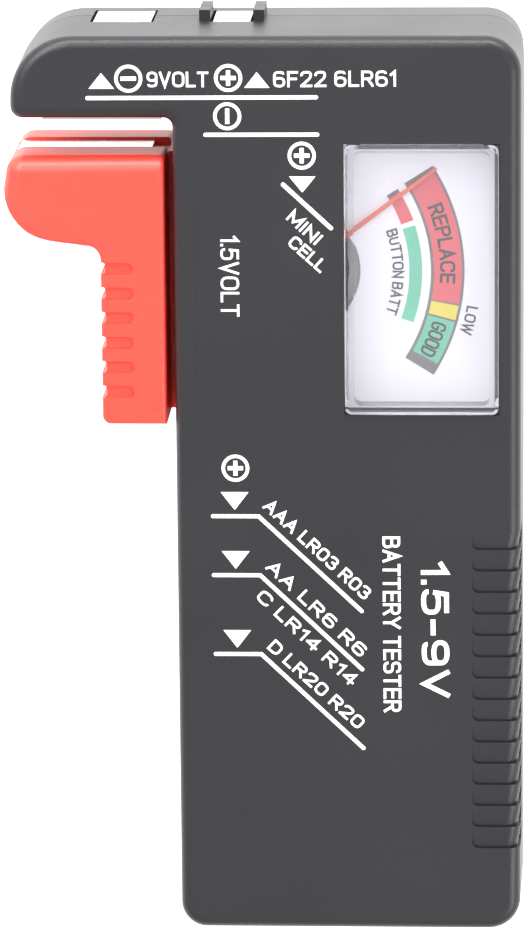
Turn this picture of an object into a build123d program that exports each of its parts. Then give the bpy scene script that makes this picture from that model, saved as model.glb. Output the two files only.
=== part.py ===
"""Needle battery tester, as separate pieces.

A black two-part casing carries a fixed jaw arm at its upper left. A red slider hangs on a carriage
in the casing's left wall and is pulled up to the jaw by a long extension spring. A moving-coil
meter sits behind a clear window, and two contacts for a nine-volt battery lie in the top wall.

Millimetres. +X is to the right, +Y along the casing towards the nine-volt contacts, and +Z out of
the printed front face. The origin is the middle of the casing body, on its back face.
"""
import os
from math import cos, degrees, pi, radians, sin, tan

from build123d import *

os.makedirs("parts", exist_ok=True)

# Casing
casing_width = 40.7
casing_length = 107.4
casing_thickness = 23.5
parting_height = 8.4
wall = 2.0
draft = 1.0
arm_reach = 18.7
arm_height = 10.0
front_edge_radius = 1.4
rear_edge_radius = 1.4
corner_top_left = 7.5
corner_top_right = 4.5
corner_bottom_right = 4.0
corner_bottom_left = 3.3
corner_jaw_tip = 1.6
corner_jaw_root = 0.8
least_inner_corner = 0.3
over = 1.0
tongue_height = 1.0
tongue_gap = 0.1

# Casing screws
screw_margin = 5.0
lower_screw_x = 4.0
lower_screw_margin = 6.0
boss_radius = 2.8
rear_boss_extra = 0.6
screw_radius = 1.25
screw_length = 10.0
screw_point = 1.0
screw_head_radius = 2.3
screw_head_height = 1.5
screw_seat = 4.2
screw_recess_width = 0.6
screw_recess_depth = 0.8
counterbore_radius = 2.7
clearance_hole_radius = 1.5
thread_gap = 0.03

# Slider and its carriage
travel = 59.0
jaw_opening = 4.5
slider_length = 31.6
slider_gap = 0.85
slider_back = 3.0
slider_front = 22.0
stem_width = 7.5
horn_reach = 18.7
horn_lean = 0.6
horn_curve_drop = 3.6
horn_depth = 10.45
horn_curve = ((0.85, 6.78), (3.12, 9.13), (6.6, 10.07))
horn_root = 1.9
horn_root_radius = 1.7
horn_corner_radius = 2.0
stem_corner_radius = 1.0
slider_edge_radius = 0.5
slider_lip_radius = 2.0
slider_wall = 1.6
horn_core_inset = 5.0
notch_count = 6
notch_first_drop = 13.1
notch_pitch = 2.92
notch_height = 1.45
notch_depth = 0.55
notch_face_depth = 0.4
notch_face_length = 3.8
neck_height = 4.2
neck_gap = 0.2
neck_drop = 0.8
rib_gap = 0.4
slot_end_gap = 0.2
carriage_gap = 0.2
guide_rib = 1.2
carriage_rise = 1.8
carriage_back = 2.8
carriage_front = 16.6
carriage_thickness = 1.8
trough_floor = 0.6
trough_height = 4.6
trough_wall = 0.8
runner_gap = 0.2
runner_width = 0.8
left_runner_inset = 0.5
right_runner_inset = 0.3
slot_relief = 1.4

# Return spring
spring_radius = 2.0
spring_wire_radius = 0.225
spring_turns = 28
spring_play = 0.2
spring_room = 0.3
spring_post_radius = 0.7
spring_loop_radius = 1.1
spring_low_rise = 4.4
spring_high_rise = 2.8
spring_loop_lead = 3.0
anchor_half_width = 1.6
anchor_tail = 4.2
anchor_gap = 0.6

# Contacts
strip = 0.4
strip_gap = 0.1
opening_gap = 0.3
slider_contact_back = 8.0
slider_contact_front = 14.5
slider_contact_sink = 0.3
slider_contact_reach = 17.6
slider_contact_chamfer = 1.2
tail_width = 2.0
tail_gap = 0.3
drop_gap = 0.15
foot_gap = 0.1
foot_half_width = 1.1
jaw_contact_stand = 1.5
jaw_contact_inset = 3.05
jaw_contact_width = 14.0
jaw_leg_inset = 9.05
jaw_contact_back = 5.0
jaw_contact_front = 13.0
jaw_leg_back = 6.4
jaw_leg_front = 11.4
jaw_tab = 2.6
nine_volt_back = 4.0
nine_volt_front = 12.5
nine_volt_sink = 0.1
nine_volt_tab = 1.8
nine_volt_tab_gap = 0.3
nine_volt_negative_inset = 9.15
nine_volt_negative_width = 6.8
nine_volt_positive_inset = 23.15
nine_volt_positive_width = 4.4
lug_width = 1.3
lug_stand = 1.2
lug_back = 5.0
lug_front = 12.0

# Thumb grip on the right-hand edge
grip_count = 15
grip_first = -6.98
grip_pitch = 2.593
grip_land = 0.35
grip_depth = 0.35
grip_left = 14.4
grip_side_height = 17.5
grip_corner = 0.8
grip_overrun = 0.2

# Meter
window_left = -0.3
window_right = 17.5
window_bottom = 9.2
window_top = 40.95
window_stand = 0.5
window_wall = 1.0
window_bevel = 0.4
window_corner = 0.8
view_corner = 0.9
window_gap = 0.1
meter_left = -14.4
meter_right = 18.0
meter_bottom = 8.2
meter_top = 42.0
meter_back = 8.0
meter_joint = 18.6
meter_wall = 0.8
cover_gap = 0.1
dial_thickness = 0.4
dial_hole_radius = 7.2
dial_gap = 0.2
dial_post_radius = 1.2
collar_wall = 1.2
rear_stud_clearance = 4.0
pivot_x = -5.8
pivot_y = 25.4
needle_length = 20.1
needle_width = 0.4
needle_thickness = 0.25
needle_height = 19.0
needle_root_half_width = 0.35
needle_tail_half_width = 0.3
needle_hub_radius = 1.2
needle_hub_height = 0.5
needle_tail = 5.0
counterweight_radius = 0.7
counterweight_height = 0.4
needle_rest_angle = 37.0
needle_swing = 72.0
stop_radius = 0.3
stop_orbit = 4.5
stop_gap = 0.1
stop_rise = 0.6
yoke_radius = 7.4
yoke_bore = 5.9
yoke_back = 10.2
yoke_front = 17.4
magnet_radius = 4.2
magnet_half_height = 2.85
magnet_chamfer = 0.2
core_lug_width = 1.4
core_lug_height = 3.0
magnet_middle = 13.8
former_half_width = 4.6
former_half_height = 3.1
former_wall = 0.25
former_depth = 2.4
winding_thickness = 0.45
winding_depth = 1.8
small_gap = 0.02
pin_radius = 0.3
pin_tip = 0.2
pin_shoulder = 0.1
flange_radius = 0.8
flange_thickness = 0.2
bridge_width = 3.6
bridge_height = 19.9
bridge_thickness = 0.5
bridge_leg = 6.4
jewel_radius = 0.8
jewel_rise = 0.15
front_cup_drop = 0.35
rear_cup_rise = 0.3
jewel_cup_radius = 0.38
jewel_cup_depth = 0.25
hairspring_inner = 0.32
hairspring_outer = 2.7
hairspring_turns = 3.5
hairspring_steps = 72
hairspring_gap = 0.35
hairspring_width = 0.12
hairspring_height = 0.22
stud_radius = 0.25
terminal_x = 8.0
terminal_inset = 6.0
terminal_width = 2.2
terminal_thickness = 0.5
terminal_length = 4.6
terminal_stand = 0.6
terminal_eye = 0.5
terminal_eye_rise = 1.1
support_radius = 1.4
support_gap = 0.1
support_clearance = 0.6
support_right = 15.0
support_inset = 3.0

# Circuit
lead_radius = 0.5
resistor_lead_radius = 0.3
load_resistor_radius = 1.7
load_resistor_length = 9.5
series_resistor_radius = 1.15
series_resistor_length = 6.4
series_resistor_reach = 3.0
load_resistor_place = (3.6, 25.0, 4.5)
series_resistor_place = (-3.0, 48.5, 15.5)
resistor_cap_share = 0.22
resistor_cap_rise = 0.2
load_lead_reach = 2.2
load_lead_inset = 0.8
load_lead_rise = 1.0

half_width = casing_width / 2
half_length = casing_length / 2
arm_left = -half_width - arm_reach
jaw_face = half_length - arm_height
inner_front = casing_thickness - wall
slope = tan(radians(draft))
slider_top = jaw_face - jaw_opening
slider_bottom = slider_top - slider_length
neck_top = slider_top - neck_drop


def block(x0, x1, y0, y1, z0, z1):
    """Rectangular block between two opposite corners."""
    return Pos((x0 + x1) / 2, (y0 + y1) / 2, (z0 + z1) / 2) * Box(x1 - x0, y1 - y0, z1 - z0)


def post(x, y, z0, z1, radius):
    """Upright cylinder from z0 to z1."""
    return Pos(x, y, (z0 + z1) / 2) * Cylinder(radius, z1 - z0)


def side_x(z):
    """Outer half width of the casing body at height z, with the moulding draft."""
    return half_width - abs(z - parting_height) * slope


def plan(inset, height=parting_height):
    """Casing outline at the parting line, moved inwards by inset, with rounded corners."""
    left = -half_width + inset
    right = half_width - inset
    bottom = -half_length + inset
    top = half_length - inset
    tip = arm_left + inset
    jaw = jaw_face + inset
    points = [(left, bottom), (right, bottom), (right, top), (tip, top), (tip, jaw), (left, jaw)]
    outer = [corner_bottom_left, corner_bottom_right, corner_top_right, corner_top_left, corner_jaw_tip]
    radii = [max(radius - inset, least_inner_corner) for radius in outer] + [corner_jaw_root + inset]
    radii[3] = min(radii[3], arm_height - 2 * inset - radii[4] - least_inner_corner)
    face = make_face(Polyline(*points, close=True))
    for point, radius in zip(points, radii):
        corner = face.vertices().sort_by_distance(Vector(*point, 0))[0]
        face = fillet(corner, radius)
    return Pos(0, 0, height) * face


def shell_block(inset, height, direction):
    """Drafted block on the casing outline, from the parting line up or down to a height."""
    return extrude(plan(inset), amount=height, dir=(0, 0, direction), taper=draft)


screw_places = [
    (half_width - screw_margin, half_length - screw_margin),
    (arm_left + screw_margin, half_length - screw_margin),
    (lower_screw_x, -half_length + lower_screw_margin),
]

# Places that several pieces share
slider_right = -half_width - slider_gap
stem_left = slider_right - stem_width
horn_left = slider_right - horn_reach
neck_back = parting_height + neck_gap
neck_front = neck_back + neck_height
carriage_left = -side_x(carriage_front) + wall + carriage_gap
carriage_inner = carriage_left + carriage_thickness
spring_x = carriage_inner + spring_play + spring_radius
trough_right = spring_x + spring_radius + spring_play + trough_wall
trough_front = carriage_back + trough_height
spring_z = carriage_back + trough_floor + spring_play + spring_radius
slot_low = slider_bottom - travel - slot_end_gap
slot_high = neck_top + slot_end_gap
spring_low_post = slider_bottom + spring_low_rise
spring_high_post = jaw_face + spring_high_rise
carriage_bottom = slider_bottom + carriage_rise
jaw_contact_left = arm_left + jaw_contact_inset
jaw_contact_right = jaw_contact_left + jaw_contact_width
jaw_leg_left = arm_left + jaw_leg_inset
negative_left = arm_left + nine_volt_negative_inset
nine_volt_negative = (negative_left, negative_left + nine_volt_negative_width)
positive_left = arm_left + nine_volt_positive_inset
nine_volt_positive = (positive_left, positive_left + nine_volt_positive_width)


def strip_blocks(blocks, grow=0.0):
    """Bent metal strip as the sum of its straight runs, each swollen by grow."""
    runs = [block(x0 - grow, x1 + grow, y0 - grow, y1 + grow, z0 - grow, z1 + grow)
            for x0, x1, y0, y1, z0, z1 in blocks]
    return runs[0] + runs[1:] if len(runs) > 1 else runs[0]


def jaw_contact_runs():
    """Plate under the fixed jaw, with two legs that pass its wall and turn in behind it."""
    low = jaw_face - jaw_contact_stand
    behind = jaw_face + wall + strip_gap
    left, right = jaw_contact_left, jaw_contact_right
    plate = (left, right, low, low + strip, jaw_contact_back, jaw_contact_front)
    runs = [plate]
    for x, turn in ((jaw_leg_left, 1), (right - strip, -1)):
        runs.append((x, x + strip, low, behind + strip, jaw_leg_back, jaw_leg_front))
        tab = sorted((x + strip / 2, x + strip / 2 + turn * jaw_tab))
        runs.append((tab[0], tab[1], behind, behind + strip, jaw_leg_back, jaw_leg_front))
    return runs


def nine_volt_runs(span):
    """Plate flush with the top wall, with two legs that pass it and turn out behind it."""
    left, right = span
    face = half_length - nine_volt_sink
    behind = half_length - wall - nine_volt_tab_gap
    runs = [(left, right, face - strip, face, nine_volt_back, nine_volt_front)]
    for z, turn in ((nine_volt_back, -1), (nine_volt_front - strip, 1)):
        runs.append((left, right, behind - strip, face, z, z + strip))
        edge = z + strip / 2
        tab = sorted((edge, edge + turn * nine_volt_tab))
        runs.append((left, right, behind - strip, behind, tab[0], tab[1]))
    return runs


def slider_contact_runs():
    """Plate on the slider's top face, its tail down the hollow stem and through the neck to the spring."""
    top = slider_top - slider_contact_sink
    left = slider_right - slider_contact_reach
    tail_x = slider_right - slider_wall - strip - tail_gap
    tail_back = (neck_back + neck_front - tail_width) / 2
    tail_front = tail_back + tail_width
    drop_x = carriage_inner + drop_gap
    foot = carriage_back + trough_floor + foot_gap
    low = spring_low_post
    return [
        (left, tail_x + strip, top - strip, top, slider_contact_back, slider_contact_front),
        (tail_x, tail_x + strip, low, top, tail_back, tail_front),
        (tail_x, drop_x + strip, low, low + strip, tail_back, tail_front),
        (drop_x, drop_x + strip, low, low + strip, foot, tail_front),
        (drop_x, spring_x + foot_half_width, low - foot_half_width, low + foot_half_width,
         foot, foot + strip),
    ]


def lug_blocks(z0, z1):
    """Two short fences beside the positive contact that keep the battery's wide stud off it."""
    left, right = nine_volt_positive
    low = half_length - wall / 2 + tongue_gap
    high = half_length + lug_stand
    first = block(left - opening_gap - lug_width, left - opening_gap, low, high, z0, z1)
    second = block(right + opening_gap, right + opening_gap + lug_width, low, high, z0, z1)
    return [first, second]


def grip_cutter(index):
    """Scoop of the thumb grip: flush at its upper end, deepest at its lower edge, round the corner."""
    low = grip_first - grip_pitch * index
    length = grip_pitch - grip_land
    outside = half_width + over
    cell = block(grip_left, outside, low, low + length, grip_side_height, casing_thickness + over)
    lower = cell.edges().filter_by_position(Axis.Y, low - 0.01, low + 0.01)
    face_corner = lower.filter_by(Axis.Z).sort_by(Axis.X)[0]
    side_corner = lower.filter_by(Axis.X).sort_by(Axis.Z)[0]
    cell = fillet([face_corner, side_corner], grip_corner)
    inner = grip_left - wall
    base = grip_side_height - wall
    corner = Polyline((inner, base), (side_x(base), base), (side_x(casing_thickness), casing_thickness),
                      (inner, casing_thickness), close=True)
    section = make_face(corner)
    tip = section.vertices().sort_by_distance(Vector(side_x(casing_thickness), casing_thickness, 0))[0]
    section = fillet(tip, front_edge_radius)
    section = Plane(origin=(0, 0, 0), x_dir=(1, 0, 0), z_dir=(0, -1, 0)) * section
    lift = grip_overrun * grip_depth
    start = Pos(lift, low + length * (1 + grip_overrun), lift) * section
    run = Vector(-grip_depth, -length, -grip_depth) * (1 + 2 * grip_overrun)
    body = extrude(start, amount=run.length, dir=run.normalized())
    return cell - body


def make_front_shell():
    """Front half: printed face, window opening, thumb grip, upper half of the left-hand slot."""
    height = casing_thickness - parting_height
    outer = shell_block(0, height, 1)
    rim = outer.faces().sort_by(Axis.Z)[-1].edges()
    outer = fillet(rim, front_edge_radius)
    shell = outer - shell_block(wall, height - wall, 1)
    shell -= extrude(plan(wall / 2 - tongue_gap), amount=tongue_height + tongue_gap)
    shell += [post(x, y, parting_height + tongue_gap, inner_front + wall / 2, boss_radius)
              for x, y in screw_places]
    rib_x = carriage_inner + carriage_gap
    shell += block(rib_x, rib_x + guide_rib, slot_low, neck_top, neck_front + rib_gap, inner_front + wall / 2)
    pilot = screw_radius + thread_gap
    shell -= [post(x, y, parting_height, screw_seat + screw_length + over, pilot) for x, y in screw_places]
    shell -= block(window_left - window_gap, window_right + window_gap, window_bottom - window_gap,
                   window_top + window_gap, parting_height, casing_thickness + over)
    shell += lug_blocks(parting_height, lug_front)
    shell -= block(-half_width - over, -half_width + wall + slot_relief, slot_low, slot_high, 0,
                   neck_front + neck_gap)
    shell -= wall_openings()
    for index in range(grip_count):
        shell -= grip_cutter(index)
    return shell


def wall_openings():
    """Openings through both halves for the legs and faces of the fixed contacts."""
    holes = []
    for span in (nine_volt_negative, nine_volt_positive):
        holes.append(block(span[0] - opening_gap, span[1] + opening_gap,
                           half_length - wall - over, half_length + over,
                           nine_volt_back - opening_gap, nine_volt_front + opening_gap))
    for x in (jaw_leg_left, jaw_contact_right - strip):
        holes.append(block(x - strip_gap, x + strip + strip_gap, jaw_face - over, jaw_face + wall + over,
                           jaw_leg_back - strip_gap, jaw_leg_front + strip_gap))
    return holes


def make_rear_shell():
    """Rear half: flat back, locating tongue, screw seats, meter supports and the carriage runners."""
    outer = shell_block(0, parting_height, -1)
    rim = outer.faces().sort_by(Axis.Z)[0].edges()
    outer = fillet(rim, rear_edge_radius)
    shell = outer - shell_block(wall, parting_height - wall, -1)
    tongue = extrude(plan(wall / 2), amount=tongue_height)
    tongue -= extrude(plan(wall), amount=tongue_height)
    room = boss_radius + tongue_gap
    tongue -= [post(x, y, parting_height, casing_thickness, room) for x, y in screw_places]
    shell += tongue
    shell += [post(x, y, wall / 2, parting_height, boss_radius + rear_boss_extra) for x, y in screw_places]
    for x in (trough_right + support_radius + support_clearance, support_right):
        for y in (meter_bottom + support_inset, meter_top - support_inset):
            shell += post(x, y, wall / 2, meter_back - support_gap, support_radius)
    runner_top = carriage_back - runner_gap
    right_runner = trough_right - runner_width - right_runner_inset
    for x in (carriage_left + left_runner_inset, right_runner):
        shell += block(x, x + runner_width, slot_low, neck_top, wall / 2, runner_top)
    shell += post(spring_x, spring_high_post, wall / 2, trough_front, spring_post_radius)
    shell += lug_blocks(lug_back, parting_height)
    seats = [post(x, y, -over, screw_seat, counterbore_radius) for x, y in screw_places]
    top = parting_height + tongue_height + over
    holes = [post(x, y, 0, top, clearance_hole_radius) for x, y in screw_places]
    shell -= seats + holes
    inside = -half_width + wall + slot_relief
    shell -= block(-half_width - over, inside, slot_low, slot_high, parting_height, top)
    shell -= wall_openings()
    return shell


def make_casing_screws():
    """Pan-head self-tapping screws with a cross recess, driven in from the back."""
    screws = []
    for x, y in screw_places:
        head = post(x, y, screw_seat - screw_head_height, screw_seat, screw_head_radius)
        head = fillet(head.edges().sort_by(Axis.Z)[0], screw_head_height / 3)
        shank = post(x, y, screw_seat, screw_seat + screw_length - screw_point, screw_radius)
        point_z = screw_seat + screw_length
        point = Pos(x, y, point_z - screw_point / 2) * Cone(screw_radius, screw_radius / 3, screw_point)
        low = screw_seat - screw_head_height
        arm = screw_head_radius * 0.6
        half = screw_recess_width / 2
        recess = [block(x - arm, x + arm, y - half, y + half, low - over, low + screw_recess_depth),
                  block(x - half, x + half, y - arm, y + arm, low - over, low + screw_recess_depth)]
        screws.append(head + shank + point - recess)
    return Compound(screws)


def slider_outline():
    """Front view of the slider: a stem with a horn that curves out to the left at its top."""
    tip = (horn_left + horn_lean, slider_top)
    root = (stem_left, slider_top - horn_depth)
    curve = [(horn_left + across, slider_top - down) for across, down in horn_curve]
    start = (horn_left, slider_top - horn_curve_drop)
    shoulder = (stem_left - horn_root, root[1])
    edges = [
        Line((slider_right, slider_bottom), (slider_right, slider_top)),
        Line((slider_right, slider_top), tip),
        Line(tip, start),
        Spline(start, *curve, shoulder),
        Line(shoulder, root),
        Line(root, (stem_left, slider_bottom)),
        Line((stem_left, slider_bottom), (slider_right, slider_bottom)),
    ]
    face = make_face(edges)
    for point, radius in ((tip, horn_corner_radius), ((stem_left, slider_bottom), stem_corner_radius),
                          (root, horn_root_radius)):
        corner = face.vertices().sort_by_distance(Vector(*point, 0))[0]
        face = fillet(corner, radius)
    return face


def make_slider():
    """Red slider: grip stem and horn outside, neck through the slot, carriage and spring trough inside."""
    body = Pos(0, 0, slider_back) * extrude(slider_outline(), amount=slider_front - slider_back)
    front = body.faces().sort_by(Axis.Z)[-1].edges()
    top_edge = front.filter_by(Axis.X).sort_by(Axis.Y)[-1]
    body = fillet([top_edge], slider_lip_radius)
    rim = body.faces().sort_by(Axis.Z)[-1].edges().filter_by_position(Axis.Y, slider_bottom - over,
                                                                       slider_top - slider_lip_radius - over)
    body = fillet(rim, slider_edge_radius)
    for index in range(notch_count):
        y = slider_top - notch_first_drop - notch_pitch * index
        half = notch_height / 2
        side = block(stem_left - over, stem_left + notch_depth, y - half, y + half, slider_back, slider_front)
        side = fillet(side.edges().filter_by(Axis.Z).sort_by(Axis.X)[-2:], notch_depth * 0.9)
        face = block(stem_left - over, stem_left + notch_face_length, y - half, y + half,
                     slider_front - notch_face_depth, slider_front + over)
        face = fillet(face.edges().filter_by(Axis.Z).sort_by(Axis.X)[-2:], half * 0.95)
        body -= [side, face]
    web = slider_top - horn_depth + slider_wall
    core = block(stem_left + slider_wall, slider_right - slider_wall, slider_bottom + slider_wall, web,
                 slider_back - over, slider_front - slider_wall)
    horn_core = block(horn_left + horn_core_inset, slider_right - slider_wall, web + slider_wall,
                      slider_top - 2 * slider_wall, slider_back - over, slider_front - slider_wall)
    body -= [core, horn_core]
    join = carriage_thickness / 2
    neck = block(slider_right - join, carriage_left + join, slider_bottom, neck_top, neck_back, neck_front)
    carriage = block(carriage_left, carriage_inner, carriage_bottom, neck_top, carriage_back, carriage_front)
    trough = block(carriage_inner - join, trough_right, carriage_bottom, neck_top,
                   carriage_back, trough_front)
    channel = block(carriage_inner, trough_right - trough_wall, carriage_bottom + trough_wall,
                    neck_top + over, carriage_back + trough_floor, trough_front + over)
    body += [neck, carriage, trough - channel]
    body += post(spring_x, spring_low_post, carriage_back, trough_front, spring_post_radius)
    top = slider_top - slider_contact_sink
    body -= block(horn_left - over, slider_right + over, top - strip - strip_gap, slider_top + over,
                  slider_contact_back - strip_gap, slider_contact_front + strip_gap)
    body -= strip_blocks(slider_contact_runs()[1:4], strip_gap)
    return body


def make_slider_contact():
    """Nickelled strip on the slider's top, run inside to the lower hook of the spring."""
    contact = strip_blocks(slider_contact_runs())
    hole = post(spring_x, spring_low_post, 0, casing_thickness, spring_post_radius + strip_gap)
    corner = slider_right - slider_wall - strip
    side = 2 * slider_contact_chamfer
    cut = Pos(corner + slider_contact_chamfer, slider_top, slider_contact_front) * Rot(0, 45, 0)
    cut *= Box(side, side, side)
    return contact - hole - cut


def make_return_spring():
    """Extension spring from the carriage to the post in the rear shell, with a loop at each end."""
    coil_low = spring_low_post + spring_loop_lead
    coil_high = spring_high_post - spring_loop_lead
    radius = spring_radius - spring_wire_radius
    height = coil_high - coil_low
    path = Helix(pitch=height / spring_turns, height=height, radius=radius,
                 center=(spring_x, coil_low, spring_z), direction=(0, 1, 0))
    section = Plane(origin=path @ 0, z_dir=path % 0) * Circle(spring_wire_radius)
    spring = sweep(section, path=path)
    for y, share, way in ((spring_low_post, 0, 1), (spring_high_post, 1, -1)):
        loop = Pos(spring_x, y, spring_z) * Rot(0, 0, 45) * Torus(spring_loop_radius, spring_wire_radius)
        near = Vector(spring_x, y + way * (spring_loop_radius - spring_wire_radius / 2), spring_z)
        knee = near + Vector(0, way * 3 * spring_wire_radius, 0)
        tip = (path @ share) + (path % share) * (way * spring_wire_radius / 2)
        bend = Pos(*knee) * Sphere(spring_wire_radius)
        spring += loop + rod(near, knee, spring_wire_radius) + bend + rod(knee, tip, spring_wire_radius)
    return spring


def rod(start, end, radius):
    """Straight round wire between two points."""
    way = (end - start).normalized()
    section = Plane(origin=start, z_dir=way) * Circle(radius)
    return extrude(section, amount=(end - start).length, dir=way)


def make_spring_anchor():
    """Tinned tag on the rear shell's post that joins the spring to the circuit."""
    low = wall + anchor_gap
    tag = block(spring_x - anchor_half_width, spring_x + anchor_half_width,
                spring_high_post - anchor_half_width, spring_high_post + anchor_tail, low, low + strip)
    hole = post(spring_x, spring_high_post, 0, parting_height, spring_post_radius + strip_gap)
    return tag - hole


def rounded_box(x0, x1, y0, y1, z0, z1, radius):
    """Block with rounded upright edges."""
    body = block(x0, x1, y0, y1, z0, z1)
    return fillet(body.edges().filter_by(Axis.Z), radius)


def make_meter_cover():
    """Clear moulding: a skirt under the front wall and a raised window that fills its opening."""
    skirt_top = inner_front - cover_gap
    skirt = block(meter_left, meter_right, meter_bottom, meter_top, meter_joint, skirt_top)
    window = rounded_box(window_left, window_right, window_bottom, window_top, meter_joint,
                         casing_thickness + window_stand, window_corner)
    window = chamfer(window.faces().sort_by(Axis.Z)[-1].edges(), window_bevel)
    under = block(meter_left + meter_wall, meter_right - meter_wall, meter_bottom + meter_wall,
                  meter_top - meter_wall, meter_joint - over, skirt_top - meter_wall)
    view = rounded_box(window_left + window_wall, window_right - window_wall, window_bottom + window_wall,
                       window_top - window_wall, meter_joint - over,
                       casing_thickness + window_stand - window_wall, view_corner)
    return skirt + window - under - view


def make_meter_base():
    """Black tray that carries the movement, the dial and the two terminals."""
    tray = block(meter_left, meter_right, meter_bottom, meter_top, meter_back, meter_joint)
    tray -= block(meter_left + meter_wall, meter_right - meter_wall, meter_bottom + meter_wall,
                  meter_top - meter_wall, meter_back + meter_wall, meter_joint + over)
    dial_seat = meter_joint - dial_thickness
    inset = meter_wall + dial_post_radius
    for x in (meter_left + inset, meter_right - inset):
        for y in (meter_bottom + inset, meter_top - inset):
            tray += post(x, y, meter_back + meter_wall / 2, dial_seat, dial_post_radius)
    collar = post(pivot_x, pivot_y, meter_back + meter_wall / 2, yoke_back, yoke_radius)
    collar -= post(pivot_x, pivot_y, meter_back, yoke_back + over, yoke_radius - collar_wall)
    tray += collar
    tray += post(pivot_x, pivot_y + hairspring_outer, meter_back + meter_wall / 2,
                 magnet_middle - rear_stud_clearance, stud_radius)
    tray -= post(pivot_x, pivot_y, 0, meter_back + meter_wall + over, jewel_radius + small_gap)
    for y in terminal_places():
        tray -= terminal_block(y, strip_gap)
    tray -= block(meter_left - over, trough_right, meter_bottom - over, meter_top + over,
                  meter_back - over, spring_z + spring_radius + spring_room)
    return tray


def terminal_places():
    """Where the two meter terminals stand along the casing."""
    return (meter_bottom + terminal_inset, meter_top - terminal_inset)


def terminal_block(y, grow=0.0):
    """Upright tag through the floor of the meter tray."""
    half = terminal_width / 2 + grow
    thick = terminal_thickness / 2 + grow
    low = meter_back + meter_wall + terminal_stand - terminal_length
    return block(terminal_x - half, terminal_x + half, y - thick, y + thick, low, low + terminal_length)


def make_meter_terminals():
    """Two tinned tags, each with a hole for its lead."""
    low = meter_back + meter_wall + terminal_stand - terminal_length
    tags = []
    for y in terminal_places():
        eye = Pos(terminal_x, y, low + terminal_eye_rise) * Rot(90, 0, 0) * Cylinder(terminal_eye, 2 * over)
        tags.append(terminal_block(y) - eye)
    return Compound(tags)


def make_meter_dial():
    """White printed plate, cut away round the movement."""
    inset = meter_wall + dial_gap
    plate = block(meter_left + inset, meter_right - inset, meter_bottom + inset, meter_top - inset,
                  meter_joint - dial_thickness, meter_joint)
    return plate - post(pivot_x, pivot_y, 0, casing_thickness, dial_hole_radius)


def make_meter_yoke():
    """Soft-iron ring that closes the magnet's field, with lugs that hold the core."""
    ring = post(pivot_x, pivot_y, yoke_back, yoke_front, yoke_radius)
    return ring - post(pivot_x, pivot_y, 0, casing_thickness, yoke_bore)


def make_core_holder():
    """Brass lugs across the air gap, clear of the coil's swing."""
    lugs = []
    reach = yoke_bore - magnet_radius - 2 * small_gap
    middle = magnet_radius + small_gap + reach / 2
    for side in (1, -1):
        place = Pos(pivot_x, pivot_y + side * middle, magnet_middle)
        lugs.append(place * Box(core_lug_width, reach, core_lug_height))
    ring = post(pivot_x, pivot_y, 0, casing_thickness, yoke_bore - small_gap)
    core = post(pivot_x, pivot_y, 0, casing_thickness, magnet_radius + small_gap)
    return Compound([(lug & ring) - core for lug in lugs])


def make_meter_magnet():
    """Core magnet, a short cylinder magnetised across its diameter."""
    core = post(pivot_x, pivot_y, magnet_middle - magnet_half_height, magnet_middle + magnet_half_height,
                magnet_radius)
    ends = core.edges().filter_by(GeomType.CIRCLE)
    return chamfer(ends, magnet_chamfer)


def coil_ring(inner_width, inner_height, thickness, depth):
    """Upright rectangular ring round the core, turned to the needle's rest angle."""
    outer = Box(2 * (inner_width + thickness), depth, 2 * (inner_height + thickness))
    inner = Box(2 * inner_width, depth + over, 2 * inner_height)
    return Pos(pivot_x, pivot_y, magnet_middle) * Rot(0, 0, needle_rest_angle) * (outer - inner)


def make_coil_former():
    """Aluminium frame that the coil is wound on; it also damps the swing."""
    return coil_ring(former_half_width, former_half_height, former_wall, former_depth)


def make_coil_winding():
    """Fine enamelled wire, wound on the former."""
    start = former_wall + small_gap
    return coil_ring(former_half_width + start, former_half_height + start, winding_thickness, winding_depth)


coil_reach = former_half_height + former_wall + small_gap + winding_thickness
coil_front = magnet_middle + coil_reach
coil_back = magnet_middle - coil_reach
front_cup = bridge_height - front_cup_drop
rear_cup = meter_back + meter_wall + rear_cup_rise


def make_pivots():
    """Front and rear hardened pins, each with a flange on the coil and a fine point."""
    pins = []
    for start, cup, way in ((coil_front, front_cup, 1), (coil_back, rear_cup, -1)):
        begin = start + way * small_gap
        shoulder = cup - way * pin_shoulder
        flange = post(pivot_x, pivot_y, *sorted((begin, begin + way * flange_thickness)), flange_radius)
        pin = post(pivot_x, pivot_y, *sorted((begin, shoulder)), pin_radius)
        tip = post(pivot_x, pivot_y, *sorted((shoulder, cup + way * pin_tip)), pin_radius / 2)
        pins.append(flange + pin + tip)
    return Compound(pins)


def make_jewel_screws():
    """Brass screws that hold the cup jewels, front and rear."""
    front = post(pivot_x, pivot_y, front_cup, bridge_height + bridge_thickness + jewel_rise, jewel_radius)
    front -= post(pivot_x, pivot_y, front_cup - over, front_cup + jewel_cup_depth, jewel_cup_radius)
    rear = post(pivot_x, pivot_y, meter_back, rear_cup, jewel_radius)
    rear -= post(pivot_x, pivot_y, rear_cup - jewel_cup_depth, rear_cup + over, jewel_cup_radius)
    return Compound([front, rear])


def make_movement_bridge():
    """Aluminium strip over the movement, standing on the yoke, with the front hairspring's stud."""
    half = bridge_width / 2
    top = bridge_height + bridge_thickness
    bar = block(pivot_x - half, pivot_x + half, pivot_y - bridge_leg, pivot_y + bridge_leg,
                bridge_height, top)
    for side in (1, -1):
        y = sorted((pivot_y + side * (bridge_leg - bridge_thickness), pivot_y + side * bridge_leg))
        bar += block(pivot_x - half, pivot_x + half, y[0], y[1], yoke_front, top)
    stud_top = bridge_height + bridge_thickness / 2
    bar += post(pivot_x, pivot_y + hairspring_outer, hairspring_level(1), stud_top, stud_radius)
    return bar - post(pivot_x, pivot_y, 0, casing_thickness, jewel_radius + small_gap)


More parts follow.
